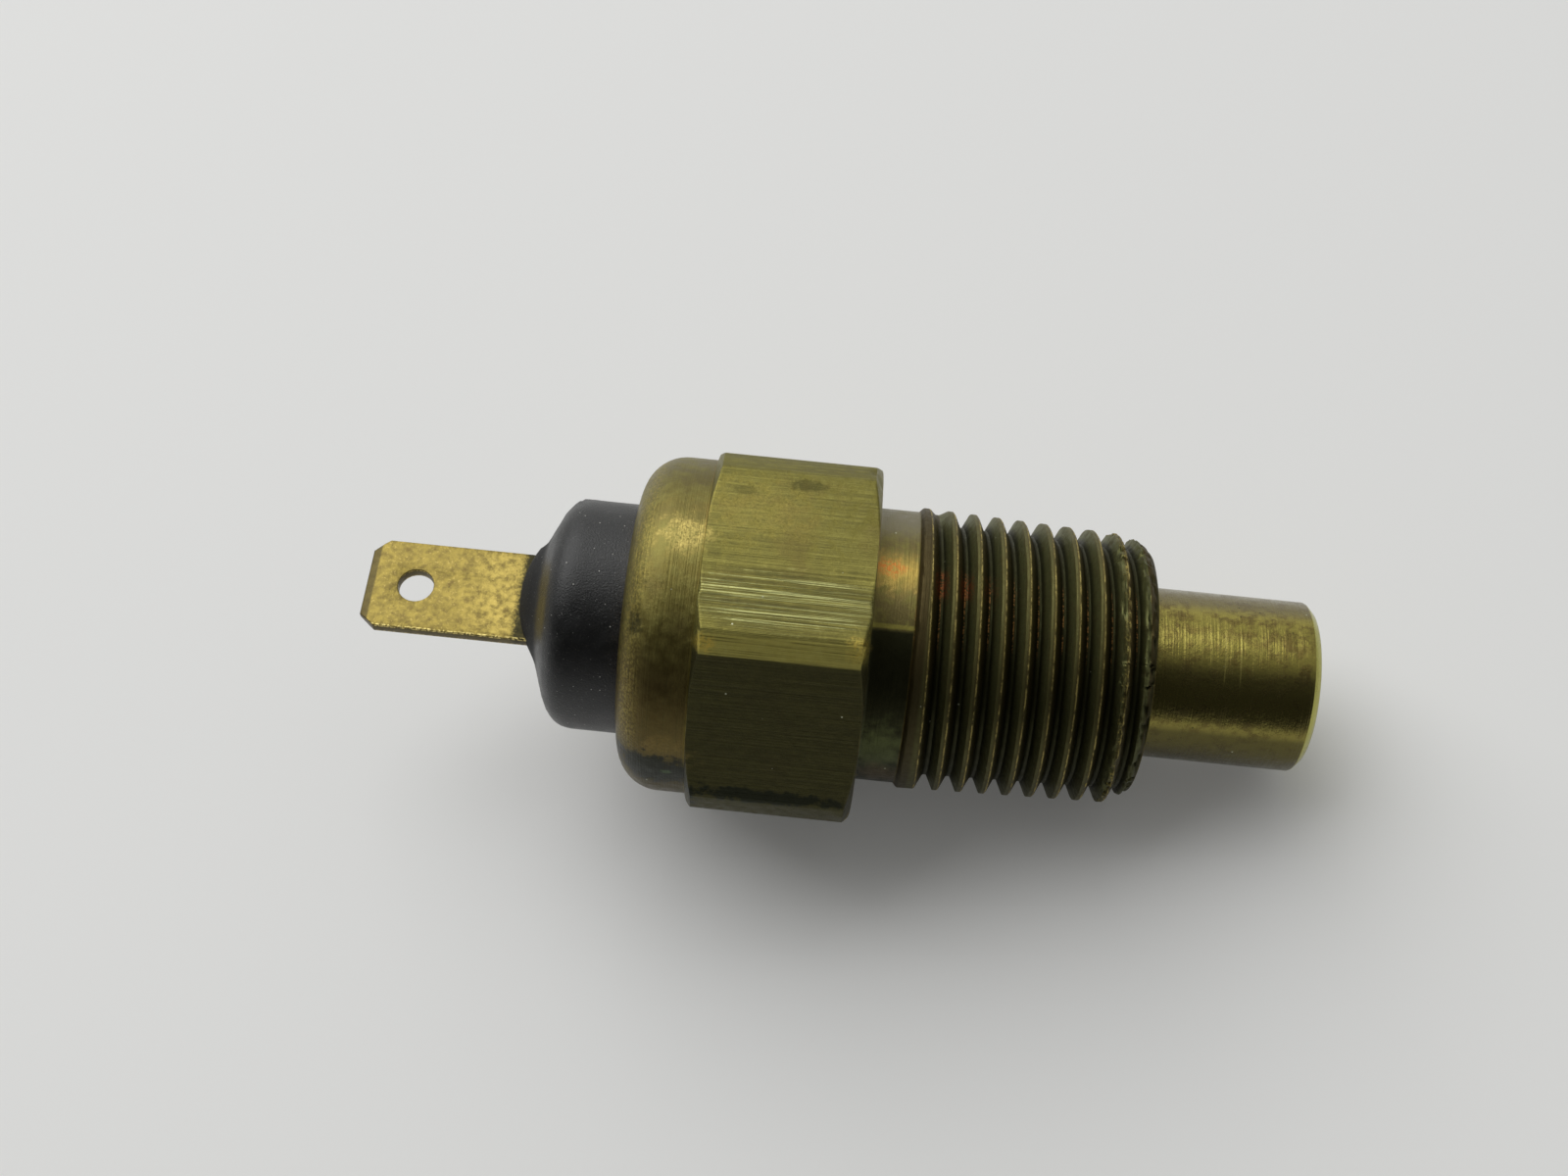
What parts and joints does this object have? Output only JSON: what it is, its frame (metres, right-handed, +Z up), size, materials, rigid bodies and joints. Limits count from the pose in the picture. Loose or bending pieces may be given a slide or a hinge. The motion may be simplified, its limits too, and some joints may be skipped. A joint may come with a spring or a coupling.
{
  "type": "coolant temperature switch",
  "caption": "Screw-in thermal switch: hexagon brass body with taper thread and plain sensing nose, black moulded insulator and one flat blade terminal.",
  "frame": {"origin": "on the ground under the middle of the switch's box as it lies at rest", "axes": "+X to the right along the switch, blade to nose; +Z up; the switch's own axis dips 8.9 degrees towards the nose"},
  "size_m": [0.0606, 0.0244, 0.0234],
  "materials": {
    "tarnished_brass": "dull tarnished, stained",
    "black_moulding": "satin, dusty",
    "blade_brass": "mottled tarnish",
    "clean_brass": "clean turned",
    "contact_silver": "satin silver",
    "gasket_rubber": "matt",
    "spring_sheet": "rolled sheet",
    "white_ceramic": "ground ceramic",
    "guide_moulding": "moulded",
    "bimetal_sheet": "rolled sheet"
  },
  "bodies": {
    "switch": {"switch_body": "tarnished_brass", "terminal_insulator": "black_moulding", "terminal_blade": "blade_brass", "terminal_stud": "clean_brass", "fixed_contact_tip": "contact_silver", "seal_gasket": "gasket_rubber", "seat_ring": "clean_brass", "contact_spring": "spring_sheet", "pin_guide": "guide_moulding", "spacer_tube": "clean_brass", "bimetal_disc": "bimetal_sheet"},
    "plunger": {"moving_contact": "contact_silver", "push_pin": "white_ceramic"}
  },
  "joints": [
    {"name": "contact_travel", "type": "slide", "parent": "switch", "child": "plunger", "axis": [-0.988, 0, 0.1544], "range_m": [0, 0.00035], "stiffness_N_per_m": 200, "springref_m": -0.0005, "deforming": ["contact_spring", "bimetal_disc"]}
  ]
}
